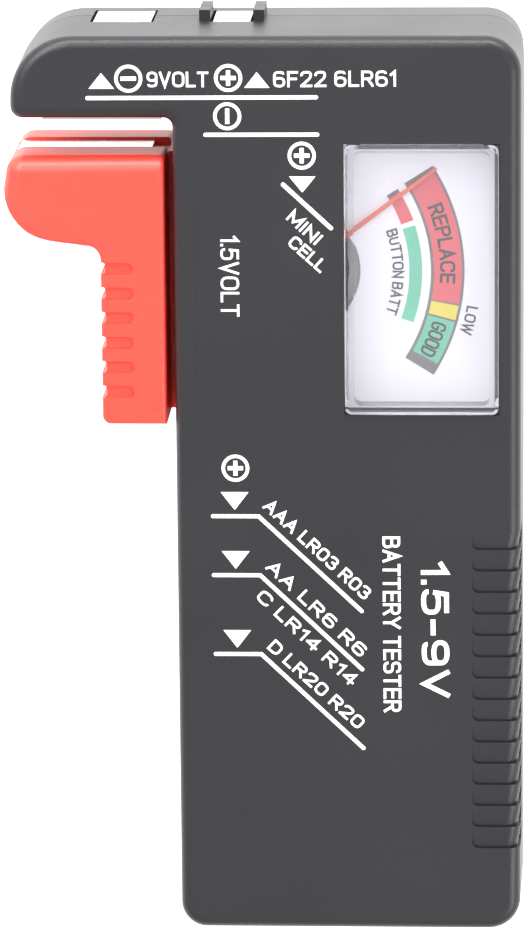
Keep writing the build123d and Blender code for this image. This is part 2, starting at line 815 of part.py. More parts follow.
def hairspring_level(way):
    """Height at which a hairspring lies, in front of the coil or behind it."""
    return coil_front + hairspring_gap if way > 0 else coil_back - hairspring_gap - hairspring_height


def make_hairspring(way):
    """Flat spiral of bronze strip that returns the needle and feeds the coil."""
    last = hairspring_outer - stud_radius - hairspring_width

    def edge(offset):
        points = []
        for step in range(hairspring_steps + 1):
            share = step / hairspring_steps
            angle = pi / 2 + 2 * pi * hairspring_turns * (share - 1)
            radius = hairspring_inner + small_gap + (last - hairspring_inner) * share + offset
            points.append((pivot_x + radius * cos(angle), pivot_y + radius * sin(angle)))
        return points

    inner, outer = edge(0), edge(hairspring_width)
    face = make_face([Spline(*inner), Line(inner[-1], outer[-1]), Spline(*outer), Line(outer[0], inner[0])])
    return Pos(0, 0, hairspring_level(way)) * extrude(face, amount=hairspring_height)


def make_needle():
    """Red pointer with a hub on the front pivot and a short tail."""
    root, tail = needle_root_half_width, needle_tail_half_width
    arm = Polyline((-needle_tail, -tail), (0, -root), (needle_length, -needle_width / 2),
                   (needle_length, needle_width / 2), (0, root), (-needle_tail, tail), close=True)
    pointer = extrude(make_face(arm), amount=needle_thickness)
    hub = post(0, 0, 0, needle_hub_height, needle_hub_radius)
    bore = post(0, 0, -over, over, pin_radius + small_gap)
    return Pos(pivot_x, pivot_y, needle_height) * Rot(0, 0, needle_rest_angle) * (pointer + hub - bore)


def make_needle_counterweight():
    """Drop of solder on the needle's tail that balances it."""
    drop = Cylinder(counterweight_radius, counterweight_height)
    drop = fillet(drop.edges().sort_by(Axis.Z)[-1], counterweight_height / 2)
    rise = needle_thickness + small_gap + counterweight_height / 2
    place = Pos(-needle_tail + 2 * counterweight_radius, 0, rise)
    return Pos(pivot_x, pivot_y, needle_height) * Rot(0, 0, needle_rest_angle) * place * drop


def make_needle_stops():
    """Two pins that the needle's tail meets at the ends of its swing."""
    room = degrees((stop_radius + needle_tail_half_width + stop_gap) / stop_orbit)
    rest = needle_rest_angle + 180
    stops = []
    for angle in (rest + room, rest - needle_swing - room):
        x = pivot_x + stop_orbit * cos(radians(angle))
        y = pivot_y + stop_orbit * sin(radians(angle))
        stops.append(post(x, y, coil_front + stop_gap, needle_height + stop_rise, stop_radius))
    return Compound(stops)


def tube(points, radius):
    """Round lead along straight runs joined by arcs as large as the runs allow."""
    corners = [Vector(*point) for point in points]
    radii = []
    for before, here, after in zip(corners, corners[1:], corners[2:]):
        turn = radians((here - before).get_angle(after - here))
        shorter = min((here - before).length, (after - here).length)
        radii.append(0.45 * shorter / tan(turn / 2))
    path = FilletPolyline(*points, radius=radii)
    section = Plane(origin=path @ 0, z_dir=path % 0) * Circle(radius)
    print("lead radii", [round(value, 1) for value in radii], "length", round(path.length, 1))
    return sweep(section, path=path)


def resistor_body(radius, length):
    """Dumb-bell body along Z with swollen, rounded ends."""
    cap = length * resistor_cap_share
    body = Cylinder(radius - resistor_cap_rise, length)
    for side in (1, -1):
        end = Pos(0, 0, side * (length - cap) / 2) * Cylinder(radius, cap)
        body += fillet(end.edges().filter_by(GeomType.CIRCLE), cap / 3)
    return body


def make_load_resistor():
    """Resistor across the meter that draws a working current from a cell in the jaw."""
    x, y, z = load_resistor_place
    half = load_resistor_length / 2
    body = Pos(x, y, z) * Rot(90, 0, 0) * resistor_body(load_resistor_radius, load_resistor_length)
    low, high = terminal_places()
    tag = terminal_thickness / 2
    end_x, end_z = terminal_x - load_lead_inset, z + load_lead_rise
    for side, face in ((1, high - tag), (-1, low + tag)):
        wire = [(x, y + side * (half - over), z), (x, y + side * (half + load_lead_reach), z),
                (end_x, face, end_z)]
        body += tube(wire, resistor_lead_radius)
    return body


def make_series_resistor():
    """Resistor between the nine-volt contact and the meter."""
    x, y, z = series_resistor_place
    body = Rot(0, 90, 0) * resistor_body(series_resistor_radius, series_resistor_length)
    wire = Rot(0, 90, 0) * Cylinder(resistor_lead_radius, series_resistor_length + 2 * series_resistor_reach)
    return Pos(x, y, z) * (body + wire)


# Lead routes: each starts and ends against the piece that it is soldered to
lead_routes = {
    "lead_spring": [
        (-12.3, 49.0, 2.9), (-8.0, 48.6, 3.4), (-3.0, 47.2, 4.6), (2.4, 44.8, 5.2), (6.0, 41.2, 5.4),
        (7.4, 36.25, 6.6)],
    "lead_common": [
        (-23.6, 46.2, 8.9), (-23.3, 48.4, 9.4), (-20.6, 49.5, 10.6), (-15.4, 48.4, 11.6), (-8.4, 47.4, 10.6),
        (-0.6, 46.2, 7.6), (6.8, 43.2, 5.2), (11.4, 37.4, 4.2), (12.2, 29.6, 3.8), (11.2, 21.6, 4.4),
        (8.4, 14.45, 6.6)],
    "lead_nine_volt_negative": [
        (-25.4, 51.0, 13.5), (-25.7, 49.2, 13.0), (-27.4, 48.0, 10.6), (-28.3, 46.2, 9.0)],
    "lead_nine_volt_positive": [
        (-13.7, 51.0, 13.4), (-13.3, 49.2, 14.4), (-11.6, 48.4, 15.3), (-9.2, 48.5, 15.5)],
    "lead_meter_positive": [
        (3.2, 48.5, 15.5), (6.8, 48.1, 14.2), (9.2, 46.6, 10.8), (9.8, 44.6, 7.4), (9.2, 40.8, 6.0),
        (8.5, 36.25, 6.6)],
}
solder_mates = ("jaw_contact", "nine_volt_negative_contact", "nine_volt_positive_contact", "meter_terminals")

nodes = {
    "front_shell": make_front_shell(),
    "rear_shell": make_rear_shell(),
    "casing_screws": make_casing_screws(),
    "slider": make_slider(),
    "slider_contact": make_slider_contact(),
    "return_spring": make_return_spring(),
    "spring_anchor": make_spring_anchor(),
    "jaw_contact": strip_blocks(jaw_contact_runs()),
    "nine_volt_negative_contact": strip_blocks(nine_volt_runs(nine_volt_negative)),
    "nine_volt_positive_contact": strip_blocks(nine_volt_runs(nine_volt_positive)),
    "meter_cover": make_meter_cover(),
    "meter_base": make_meter_base(),
    "meter_dial": make_meter_dial(),
    "meter_terminals": make_meter_terminals(),
    "meter_yoke": make_meter_yoke(),
    "meter_core_holder": make_core_holder(),
    "meter_magnet": make_meter_magnet(),
    "coil_former": make_coil_former(),
    "coil_winding": make_coil_winding(),
    "coil_pivots": make_pivots(),
    "jewel_screws": make_jewel_screws(),
    "movement_bridge": make_movement_bridge(),
    "front_hairspring": make_hairspring(1),
    "rear_hairspring": make_hairspring(-1),
    "needle": make_needle(),
    "needle_counterweight": make_needle_counterweight(),
    "needle_stops": make_needle_stops(),
    "load_resistor": make_load_resistor(),
    "series_resistor": make_series_resistor(),
}
for name, route in lead_routes.items():
    nodes[name] = tube(route, lead_radius)
for name in [*lead_routes, "load_resistor"]:
    for mate in solder_mates:
        nodes[name] -= nodes[mate]

for name, shape in nodes.items():
    export_step(shape, os.path.join("parts", name + ".step"))
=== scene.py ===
"""Looks of the battery tester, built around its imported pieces, in millimetres until a mesh is made."""
from math import cos, pi, radians, sin

import bpy
import numpy as np
from mathutils import Matrix, Vector


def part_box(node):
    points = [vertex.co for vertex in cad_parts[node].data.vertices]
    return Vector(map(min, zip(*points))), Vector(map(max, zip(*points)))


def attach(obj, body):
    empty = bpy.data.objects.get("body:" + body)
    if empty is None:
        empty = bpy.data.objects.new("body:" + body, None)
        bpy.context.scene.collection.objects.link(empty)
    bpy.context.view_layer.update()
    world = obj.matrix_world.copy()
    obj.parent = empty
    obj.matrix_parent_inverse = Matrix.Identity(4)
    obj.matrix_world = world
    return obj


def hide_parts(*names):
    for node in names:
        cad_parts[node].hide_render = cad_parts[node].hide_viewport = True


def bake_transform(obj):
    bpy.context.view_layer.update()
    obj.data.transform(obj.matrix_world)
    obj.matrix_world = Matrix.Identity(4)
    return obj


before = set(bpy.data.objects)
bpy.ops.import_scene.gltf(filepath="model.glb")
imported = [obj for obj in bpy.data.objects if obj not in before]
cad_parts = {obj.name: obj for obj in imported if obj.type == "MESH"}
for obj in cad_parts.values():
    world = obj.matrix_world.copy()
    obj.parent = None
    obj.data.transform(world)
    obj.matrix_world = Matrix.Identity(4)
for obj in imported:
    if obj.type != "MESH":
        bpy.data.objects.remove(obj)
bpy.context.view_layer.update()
MM = 0.001

# Studio: a long-lens camera nearly square to the printed face, a white light-box floor, a white
# surround, and two large soft lamps. None of it belongs to the tester.
scene = bpy.context.scene
scene.view_settings.view_transform = "Standard"
eye = Vector((23.6, 154.4, 671.6)) * MM
aim = Vector((-9.75, 3.09, 23.5)) * MM
camera_data = bpy.data.cameras.new("camera")
camera_data.sensor_width = 36.0
camera_data.lens = 221.1
camera_data.clip_start = 0.01
camera_data.clip_end = 20.0
camera = bpy.data.objects.new("camera", camera_data)
back = (eye - aim).normalized()
right = Vector((0, 1, 0)).cross(back).normalized()
up = back.cross(right)
level = Matrix((right, up, back)).transposed().to_4x4()
camera.matrix_world = Matrix.Translation(eye) @ level @ Matrix.Rotation(radians(-0.522), 4, "Z")
scene.collection.objects.link(camera)
scene.camera = camera

world = bpy.data.worlds.new("surround")
world.use_nodes = True
surround = world.node_tree.nodes["Background"]
surround.inputs["Color"].default_value = (1.0, 1.0, 1.0, 1.0)
surround.inputs["Strength"].default_value = 0.95
scene.world = world

lamps = (("key_lamp", (-420, 520, 620), (500, 500), 7.0),
         ("fill_lamp", (520, -260, 560), (420, 420), 3.0),
         ("edge_lamp", (60, 760, 330), (900, 120), 8.0))
for name, place, size, power in lamps:
    lamp_data = bpy.data.lights.new(name, "AREA")
    lamp_data.shape = "RECTANGLE"
    lamp_data.size = size[0] * MM
    lamp_data.size_y = size[1] * MM
    lamp_data.energy = power
    lamp = bpy.data.objects.new(name, lamp_data)
    aimed = Vector(place).to_track_quat("Z", "Y").to_matrix().to_4x4()
    lamp.matrix_world = Matrix.Translation(Vector(place) * MM) @ aimed
    scene.collection.objects.link(lamp)


class Value:
    """A node socket that Python's arithmetic works on: each expression adds its Math node."""

    def __init__(self, tree, socket):
        self.tree = tree
        self.socket = socket

    def math(self, operation, first, second):
        node = self.tree.nodes.new("ShaderNodeMath")
        node.operation = operation
        for slot, value in zip(node.inputs, (first, second)):
            if isinstance(value, Value):
                self.tree.links.new(value.socket, slot)
            else:
                slot.default_value = value
        return Value(self.tree, node.outputs[0])

    def __add__(self, other):
        return self.math("ADD", self, other)

    def __sub__(self, other):
        return self.math("SUBTRACT", self, other)

    def __rsub__(self, other):
        return self.math("SUBTRACT", other, self)

    def __mul__(self, other):
        return self.math("MULTIPLY", self, other)

    __radd__ = __add__
    __rmul__ = __mul__


class Finish:
    """One material: a Principled shader whose fixed values are set on its own sockets."""

    def __init__(self, name, **sockets):
        self.material = bpy.data.materials.new(name)
        self.material.use_nodes = True
        self.tree = self.material.node_tree
        self.shader = self.tree.nodes["Principled BSDF"]
        for key, value in sockets.items():
            self.shader.inputs[key.replace("_", " ")].default_value = value
        self.place = self.node("ShaderNodeTexCoord", {}, out="Object")

    def node(self, kind, settings, out=0, **values):
        """Adds a node, sets it up, fills its sockets with numbers or links, and returns one output."""
        made = self.tree.nodes.new(kind)
        stops = settings.pop("stops", None)
        for key, value in settings.items():
            setattr(made, key, value)
        if stops:
            ramp = made.color_ramp
            while len(ramp.elements) < len(stops):
                ramp.elements.new(0.5)
            for element, (where, colour) in zip(ramp.elements, stops):
                element.position = where
                element.color = colour
        for key, value in values.items():
            numbered = key[0] == "i" and key[1:].isdigit()
            slot = made.inputs[int(key[1:]) if numbered else key.replace("_", " ")]
            if isinstance(value, Value):
                self.tree.links.new(value.socket, slot)
            else:
                slot.default_value = value
        return Value(self.tree, made.outputs[out])

    def noise(self, scale, detail=2.0, roughness=0.5):
        """Cloudy value from 0 to 1, with its scale in repeats per metre."""
        return self.node("ShaderNodeTexNoise", {}, Vector=self.place, Scale=scale, Detail=detail,
                         Roughness=roughness)

    def blend(self, share, first, second):
        """Colour between two colours by a share from 0 to 1."""
        return self.node("ShaderNodeMix", {"data_type": "RGBA"}, out=2, i0=share, i6=first, i7=second)

    def feed(self, socket, value):
        self.tree.links.new(value.socket, self.shader.inputs[socket])

    def relief(self, height, distance, strength=1.0):
        """Feeds a height in metres times distance to the surface as a bump."""
        bump = self.node("ShaderNodeBump", {}, Height=height, Distance=distance, Strength=strength)
        self.feed("Normal", bump)


floor_finish = Finish("light_box_floor", Base_Color=(0.18, 0.18, 0.18, 1.0), Roughness=0.8,
                      Emission_Color=(1.0, 1.0, 1.0, 1.0), Emission_Strength=1.6)
floor_mesh = bpy.data.meshes.new("floor")
floor_half = 1.2
floor_drop = 0.02 * MM
floor_corners = [(x * floor_half, y * floor_half, 0) for x, y in ((-1, -1), (1, -1), (1, 1), (-1, 1))]
floor_mesh.from_pydata(floor_corners, [], [(0, 1, 2, 3)])
floor_mesh.transform(Matrix.Translation((0, 0, -floor_drop)))
floor_mesh.materials.append(floor_finish.material)
floor = bpy.data.objects.new("floor", floor_mesh)
scene.collection.objects.link(floor)

# Casing: two drafted halves, injection moulded in black ABS with a fine spark-eroded satin skin, and
# screwed together from the back. The meeting faces leave a hairline all round.


def add_piece(name, vertices, faces, finish, slot, body):
    """New mesh object from millimetre vertices, with its finish and, if one is given, its body. The slot is
    not used.
    """
    mesh = bpy.data.meshes.new(name)
    places = (np.asarray(vertices, float) * MM).tolist()
    mesh.from_pydata(places, [], [list(map(int, face)) for face in faces])
    mesh.materials.append(finish.material)
    piece = bpy.data.objects.new(name, mesh)
    scene.collection.objects.link(piece)
    if body:
        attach(piece, body)
    return piece


def soften(piece, crease=32.0, bevel=0.0):
    """Shades a piece smooth across fillets and flat across sharp edges, which may get a small round."""
    mesh = piece.data
    mesh.polygons.foreach_set("use_smooth", np.ones(len(mesh.polygons), bool))
    mesh.set_sharp_from_angle(angle=radians(crease))
    if bevel:
        edge = piece.modifiers.new("edge_round", "BEVEL")
        edge.width = bevel * MM
        edge.segments = 2
        edge.limit_method = "ANGLE"
        edge.angle_limit = radians(40)
        edge.harden_normals = True
    weights = piece.modifiers.new("flat_faces", "WEIGHTED_NORMAL")
    weights.keep_sharp = True
    return piece


def dressed(node, finish, slot, body, bevel=0.0):
    """Welded copy of a CAD piece: corners in one place become one vertex, so that it shades smoothly."""
    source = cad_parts[node].data
    places = np.empty(len(source.vertices) * 3, np.float32)
    source.vertices.foreach_get("co", places)
    corners = np.empty(len(source.loops), np.int32)
    source.loops.foreach_get("vertex_index", corners)
    grid = np.round(places.reshape(-1, 3).astype(float) / MM, 4)
    unique, back = np.unique(grid, axis=0, return_inverse=True)
    faces = back.ravel()[corners].reshape(-1, 3)
    whole = (faces[:, 0] != faces[:, 1]) & (faces[:, 1] != faces[:, 2]) & (faces[:, 2] != faces[:, 0])
    piece = add_piece(node + "_skin", unique, faces[whole], finish, slot, body)
    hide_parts(node)
    return soften(piece, bevel=bevel)


def moulded(name, colour, roughness, grain, depth, parting=0.0, **sockets):
    """Moulded plastic: fine pitted skin, drift of gloss, rubbed spots, and a hairline at a parting height."""
    finish = Finish(name, Specular_IOR_Level=0.5, **sockets)
    skin = finish.noise(grain, 3.0, 0.6)
    drift = finish.noise(55.0, 2.0)
    rubbed = finish.noise(420.0, 4.0, 0.65)
    worn = finish.node("ShaderNodeMapRange", {"interpolation_type": "SMOOTHSTEP"}, Value=rubbed,
                       From_Min=0.62, From_Max=0.8)
    light = tuple(min(1.0, channel * 1.2 + 0.004) for channel in colour)
    seam = 0.0
    if parting:
        level = finish.node("ShaderNodeSeparateXYZ", {}, out="Z", Vector=finish.place)
        gap = finish.node("ShaderNodeMath", {"operation": "ABSOLUTE"}, i0=level - parting * MM)
        seam = finish.node("ShaderNodeMapRange", {"interpolation_type": "SMOOTHSTEP"}, Value=gap,
                           From_Min=0.13 * MM, From_Max=0.05 * MM)
    finish.feed("Base Color", finish.blend(drift * 0.6 + worn * 0.25, (*colour, 1.0), (*light, 1.0)))
    finish.feed("Roughness", roughness - 0.05 + drift * 0.1 + skin * 0.06 - worn * 0.07 + seam * 0.5)
    finish.relief(skin + drift * 0.3 - seam * 3.0, depth * MM)
    return finish


parting_above_tray = 0.4
parting_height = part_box("meter_base")[0].z / MM + parting_above_tray
black_abs = moulded("black_abs", (0.0105, 0.0102, 0.0132), 0.36, 4300.0, 0.03, parting_height)
dressed("front_shell", black_abs, "black_abs", "casing")
dressed("rear_shell", black_abs, "black_abs", "casing")

# Printing: white pad-printed ink on the front face, a film a few hundredths thick. Lines, rings and
# arrows are ribbons of ink, and the words are set in a plain sans letter.
face_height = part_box("front_shell")[1].z / MM
ink_sink = 0.01
ink_base = face_height - ink_sink
ink_film = 0.03
ink_step = 0.004


def ribbon(points, half_widths, low, high, closed=False):
    """Strip along a flat line: at each station four corners, half a width to each side of the line along
    the mitred normal, at the low and high level; stations are joined round, and the ends capped."""
    line = np.asarray(points, float)
    half = np.broadcast_to(np.asarray(half_widths, float), len(line))[:, None]
    ahead = np.roll(line, -1, axis=0) - line
    behind = line - np.roll(line, 1, axis=0)
    if not closed:
        ahead[-1] = behind[-1]
        behind[0] = ahead[0]
    ahead /= np.linalg.norm(ahead, axis=1)[:, None]
    behind /= np.linalg.norm(behind, axis=1)[:, None]
    tangent = ahead + behind
    tangent /= np.linalg.norm(tangent, axis=1)[:, None]
    mitre = 1.0 / np.maximum((tangent * ahead).sum(1), 0.3)[:, None]
    side = np.stack([-tangent[:, 1], tangent[:, 0]], 1) * half * mitre
    left, right = line + side, line - side
    count = len(line)
    levels = [(right, low), (left, low), (left, high), (right, high)]
    corners = [np.column_stack([edge, np.full(count, level)]) for edge, level in levels]
    vertices = np.stack(corners, 1).reshape(-1, 3)
    start = np.arange(count if closed else count - 1)
    after = (start + 1) % count
    corner = np.arange(4)
    here, there = start[:, None] * 4, after[:, None] * 4
    following = (corner + 1) % 4
    faces = np.stack([here + corner, there + corner, there + following, here + following], -1)
    faces = faces.reshape(-1, 4).tolist()
    if not closed:
        last = (count - 1) * 4
        faces += [[3, 2, 1, 0], [last, last + 1, last + 2, last + 3]]
    return vertices, faces


def join(parts):
    """Several vertex and face lists as one."""
    vertices, faces, offset = [], [], 0
    for points, sides in parts:
        vertices.append(np.asarray(points, float))
        faces += [[index + offset for index in face] for face in sides]
        offset += len(points)
    return np.vstack(vertices), faces


def stroke(points, width, base=ink_base, film=ink_film):
    """Ink line through points with round ends: the half width follows a semicircle near each end."""
    line = np.asarray(points, float)
    radius = width / 2
    first = line[1] - line[0]
    last = line[-1] - line[-2]
    share = radius * (1 - np.cos(np.linspace(0.12, pi / 2, 6)))
    head = line[0] + first / np.linalg.norm(first) * share[:, None]
    tail = (line[-1] - last / np.linalg.norm(last) * share[:, None])[::-1]
    half = radius * np.sin(np.linspace(0.12, pi / 2, 6))
    path = np.vstack([head, line[1:-1], tail])
    widths = np.concatenate([half, np.full(len(line) - 2, radius), half[::-1]])
    return ribbon(path, widths, base, base + film)


def ring(x, y, radius, width, base=ink_base, film=ink_film):
    """Circle of ink."""
    angle = np.linspace(0, 2 * pi, 48, endpoint=False)
    circle = np.column_stack([x + radius * np.cos(angle), y + radius * np.sin(angle)])
    return ribbon(circle, width / 2, base, base + film, closed=True)


def arrow(x, y, width, height):
    """Solid triangle of ink: its flat side is at y, and its point is height above it, or below."""
    steps = np.linspace(0, 1, 9)
    line = np.column_stack([np.full(9, x), y + steps * height])
    return ribbon(line, width / 2 * (1.02 - steps), ink_base, ink_base + ink_film)


def rounded(points, radius):
    """Line whose corners are arcs: each corner gives way to a parabola that starts and ends a radius away
    from it, or less where a side is too short: half of an inner side, or nearly all of an end one."""
    line = np.asarray(points, float)
    if not radius:
        return line
    inner_share, end_share = 0.499, 0.97
    steps = np.linspace(0, 1, 7)[:, None]
    path = [line[:1]]
    last = len(line) - 3
    for index, (before, here, after) in enumerate(zip(line, line[1:], line[2:])):
        to_before, to_after = before - here, after - here
        reach = min(radius, (end_share if index == 0 else inner_share) * np.hypot(*to_before),
                    (end_share if index == last else inner_share) * np.hypot(*to_after))
        start = here + to_before / np.hypot(*to_before) * reach
        end = here + to_after / np.hypot(*to_after) * reach
        path.append((1 - steps) ** 2 * start + 2 * steps * (1 - steps) * here + steps ** 2 * end)
    return np.vstack([*path, line[-1:]])


# A letter is a list of strokes. A stroke is a corner radius and its points, on a grid ten units high.
six = [(2.8, [(5.3, 8.5), (5.3, 10), (0, 10), (0, 0), (5.8, 0), (5.8, 2.9)]),
       (2.8, [(5.8, 2.7), (5.8, 5.8), (0, 5.8), (0, 3)])]
letters = {
    "A": [(0, [(0, 0), (3.3, 10), (6.6, 0)]), (0, [(1.5, 3.4), (5.1, 3.4)])],
    "B": [(0, [(0, 0), (0, 10)]), (2.4, [(0, 10), (5.6, 10), (5.6, 5.3), (0, 5.3)]),
          (2.6, [(0, 5.3), (6, 5.3), (6, 0), (0, 0)])],
    "C": [(3.2, [(6.4, 7.2), (6.4, 10), (0, 10), (0, 0), (6.4, 0), (6.4, 2.8)])],
    "D": [(0, [(0, 0), (0, 10)]), (3.6, [(0, 10), (6.2, 10), (6.2, 0), (0, 0)])],
    "E": [(0, [(5.4, 10), (0, 10), (0, 0), (5.4, 0)]), (0, [(0, 5.2), (4.9, 5.2)])],
    "F": [(0, [(5.2, 10), (0, 10), (0, 0)]), (0, [(0, 5.2), (4.5, 5.2)])],
    "G": [(3.2, [(6.4, 7.4), (6.4, 10), (0, 10), (0, 0), (6.6, 0), (6.6, 4.4)]),
          (0, [(6.6, 4.6), (3.7, 4.6)])],
    "I": [(0, [(0, 0), (0, 10)])],
    "L": [(0, [(0, 10), (0, 0), (5, 0)])],
    "M": [(0, [(0, 0), (0, 10), (3.7, 1.5), (7.4, 10), (7.4, 0)])],
    "N": [(0, [(0, 0), (0, 10), (6, 0), (6, 10)])],
    "O": [(3.4, [(3.4, 10), (0, 10), (0, 0), (6.8, 0), (6.8, 10), (3.4, 10)])],
    "P": [(0, [(0, 0), (0, 10)]), (2.6, [(0, 10), (5.8, 10), (5.8, 4.7), (0, 4.7)])],
    "R": [(0, [(0, 0), (0, 10)]), (2.6, [(0, 10), (5.8, 10), (5.8, 4.9), (0, 4.9)]),
          (0, [(3.1, 4.9), (6, 0)])],
    "S": [(2.4, [(5.8, 7.6), (5.8, 10), (0, 10), (0, 5.3), (6, 5), (6, 0), (0, 0), (0, 2.5)])],
    "T": [(0, [(0, 10), (6.2, 10)]), (0, [(3.1, 10), (3.1, 0)])],
    "U": [(3, [(0, 10), (0, 0), (6, 0), (6, 10)])],
    "V": [(0, [(0, 10), (3.2, 0), (6.4, 10)])],
    "W": [(0, [(0, 10), (2.3, 0), (4.6, 9), (6.9, 0), (9.2, 10)])],
    "Y": [(0, [(0, 10), (3.2, 4.6), (6.4, 10)]), (0, [(3.2, 4.9), (3.2, 0)])],
    "0": [(2.9, [(2.9, 10), (0, 10), (0, 0), (5.8, 0), (5.8, 10), (2.9, 10)])],
    "1": [(0, [(0, 7.8), (2.3, 10), (2.3, 0)])],
    "2": [(2.8, [(0, 7.2), (0, 10), (5.6, 10), (5.6, 6.2), (0.2, 0.2)]), (0, [(0, 0), (5.8, 0)])],
    "3": [(2.5, [(0, 8), (0, 10), (5.3, 10), (5.3, 5.3), (2, 5.3)]),
          (2.6, [(2, 5.3), (5.8, 5.3), (5.8, 0), (0, 0), (0, 2.2)])],
    "4": [(0, [(4.4, 0), (4.4, 10), (0, 2.8)]), (0, [(0.2, 2.8), (6, 2.8)])],
    "5": [(0, [(5.4, 10), (0.8, 10), (0.3, 5.2)]),
          (2.8, [(0.3, 5.2), (1, 6.4), (5.8, 6.4), (5.8, 0), (0, 0), (0, 2.2)])],
    "6": six,
    "9": [(radius, [(5.8 - x, 10 - y) for x, y in points]) for radius, points in six],
    "-": [(0, [(0, 4), (3.2, 4)])],
    ".": [(0, [(0, 0), (0, 0.3)])],
}


def lettering(words, length, height, width, bend):
    """Words as ribbons of ink. Letter strokes are scaled to a length and a height, less the stroke's own
    width, and each point then goes where bend puts it. Strokes step up a little so that none coincide."""
    word_gap, letter_gap, grid_height = 3.6, 2.7, 10
    lines, reach = [], 0.0
    for letter in words:
        if letter == " ":
            reach += word_gap
            continue
        strokes = [(rounded(points, radius) + (reach, 0)) for radius, points in letters[letter]]
        reach = max(line[:, 0].max() for line in strokes) + letter_gap
        lines.append(strokes)
    scale = np.array([(length - width) / (reach - letter_gap), (height - width) / grid_height])
    pieces = []
    for strokes in lines:
        for order, line in enumerate(strokes):
            closed = bool(np.allclose(line[0], line[-1]))
            flat = line * scale + width / 2
            if len(line) < 6:
                ends = np.array([flat[0] - flat[1], flat[-1] - flat[-2]])
                ends *= width / 2 / np.linalg.norm(ends, axis=1)[:, None]
                flat[[0, -1]] += ends
            place = bend(flat[:-1] if closed else flat)
            low = bend.base + ink_step * order
            pieces.append(ribbon(place, width / 2, low, low + ink_film, closed=closed))
    return pieces


class Straight:
    """Puts letter points along the line from start to end, which is the baseline."""

    def __init__(self, start, end, base):
        self.start = np.asarray(start, float)
        way = np.subtract(end, start)
        self.length = np.hypot(*way)
        self.along = way / self.length
        self.up = np.array([-self.along[1], self.along[0]])
        self.base = base

    def __call__(self, points):
        return self.start + points[:, :1] * self.along + points[:, 1:] * self.up


def print_words(words, start, end, height, width=0.27):
    """Words on the face along their baseline."""
    bend = Straight(start, end, ink_base)
    return lettering(words, bend.length, height, width, bend)


def pole_mark(x, y, bars):
    """Ringed pole sign: one bar for minus and two for plus."""
    bar_half = 0.9
    marks = [ring(x, y, 1.42, 0.4)]
    for order, angle in enumerate(bars):
        step = np.array([cos(radians(angle)), sin(radians(angle))]) * bar_half
        base = ink_base + ink_step * order
        ends = [(x - step[0], y - step[1]), (x + step[0], y + step[1])]
        marks.append(ribbon(ends, 0.24, base, base + ink_film))
    return marks


white_ink = Finish("white_ink", Roughness=0.42)
speckle = white_ink.noise(5200.0, 3.0, 0.6)
white_ink.feed("Base Color", white_ink.blend(speckle, (0.97, 0.97, 0.97, 1.0), (0.86, 0.86, 0.87, 1.0)))
white_ink.relief(speckle, 0.006 * MM)
line_width = 0.47
small_letters = 1.56

nine_volt_print = [stroke([(-30.0, 46.42), (-3.2, 46.5)], line_width), arrow(-28.15, 47.5, 2.9, 1.8),
                   *pole_mark(-25.02, 48.68, (0,)),
                   *print_words("9VOLT", (-22.9, 47.68), (-15.8, 47.68), 1.8),
                   *pole_mark(-13.53, 48.75, (0, 90)), arrow(-10.24, 47.6, 2.85, 1.8),
                   *print_words("6F22 6LR61", (-8.35, 47.66), (5.74, 47.74), 1.86)]
cell_print = [*pole_mark(-13.68, 44.3, (90,)), stroke([(-16.45, 42.14), (-3.1, 42.16)], line_width),
              *print_words("1.5VOLT", (-14.63, 30.32), (-14.65, 20.8), 2.15)]
mini_print = [*pole_mark(-5.14, 39.71, (0, 90)), arrow(-5.1, 37.28, 3.0, -1.85),
              stroke([(-7.5, 36.5), (-1.64, 31.05)], 0.5),
              *print_words("MINI", (-7.06, 32.3), (-3.72, 29.2), 1.5),
              *print_words("CELL", (-6.94, 29.34), (-3.12, 25.9), 1.5)]
ladder_print = [*pole_mark(-13.15, 2.76, (0, 90))]
for points, arrow_x in (([(-16.07, -3.0), (-10.5, -3.0), (1.68, -14.56)], -13.28),
                        ([(-16.04, -10.1), (-10.36, -10.1), (1.7, -21.62)], -13.22),
                        ([(-15.92, -19.65), (-10.31, -19.65), (1.8, -31.22)], -13.12)):
    ladder_print.append(stroke(points, line_width))
    ladder_print.append(arrow(arrow_x, points[0][1] + 2.9, 3.2, -2.1))
for words, start, end in (("AAA LR03 R03", (-10.08, -1.94), (1.77, -13.13)),
                          ("AA LR6 R6", (-9.81, -9.25), (1.22, -20.09)),
                          ("C LR14 R14", (-10.99, -12.86), (0.12, -23.59)),
                          ("D LR20 R20", (-9.7, -18.94), (0.91, -28.83))):
    ladder_print += print_words(words, start, end, small_letters)
title_print = [*print_words("BATTERY TESTER", (3.95, -5.38), (4.03, -26.65), 2.08, 0.31),
               *print_words("1.5-9V", (8.43, -8.44), (8.57, -24.84), 3.24, 0.56)]
witness = Finish("witness_line", Roughness=0.55, Base_Color=(0.006, 0.006, 0.008, 1.0))
witness_lines = ([(-17.62, 40.3), (-17.58, 8.74)], [(-17.5, 8.74), (-15.8, 8.74)],
                 [(-11.9, 8.74), (-9.8, 8.74)])
witness_marks = [ribbon(points, 0.05, ink_base, ink_base + ink_film / 2) for points in witness_lines]
add_piece("insert_witness_line", *join(witness_marks), witness, "black_abs", "casing")
for name, marks in (("nine_volt_print", nine_volt_print), ("cell_print", cell_print),
                    ("mini_cell_print", mini_print), ("size_ladder_print", ladder_print),
                    ("title_print", title_print)):
    add_piece(name, *join(marks), white_ink, "black_abs", "casing")

# Slider: the sliding jaw, injection moulded in red ABS in one piece with its carriage. Its skin is
# glossier than the casing's, and the tinted plastic lets a little light in below the surface.
red_abs = moulded("red_abs", (0.84, 0.062, 0.04), 0.34, 3200.0, 0.006, Subsurface_Weight=0.6,
                  Subsurface_Radius=(1.0, 0.05, 0.03), Subsurface_Scale=5.0 * MM)
dressed("slider", red_abs, "red_abs", "slider")

